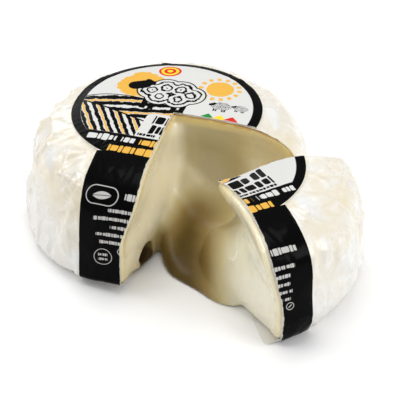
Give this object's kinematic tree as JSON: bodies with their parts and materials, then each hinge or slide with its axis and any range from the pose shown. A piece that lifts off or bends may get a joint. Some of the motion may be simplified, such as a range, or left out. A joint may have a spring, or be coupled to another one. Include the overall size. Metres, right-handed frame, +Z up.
{
  "type": "sheep milk cheese",
  "caption": "Round soft cheese wrapped in film under a printed label, with a quarter cut out and drawn forward, and runny paste slumping between them.",
  "frame": {"origin": "on the wheel's axis at table level, in its flat base", "axes": "+Z up along the wheel's axis; the cut opens towards -Y, and the quarter lies on that side, towards +X"},
  "size_m": [0.1695, 0.1889, 0.0605],
  "materials": {
    "paste": "moist satin",
    "film": "crinkled satin",
    "label": "coated satin"
  },
  "bodies": {
    "root": {"cheese": "paste", "wheel_film": "film", "wheel_label": "label", "quarter_film": "film", "quarter_label": "label"}
  },
  "joints": []
}
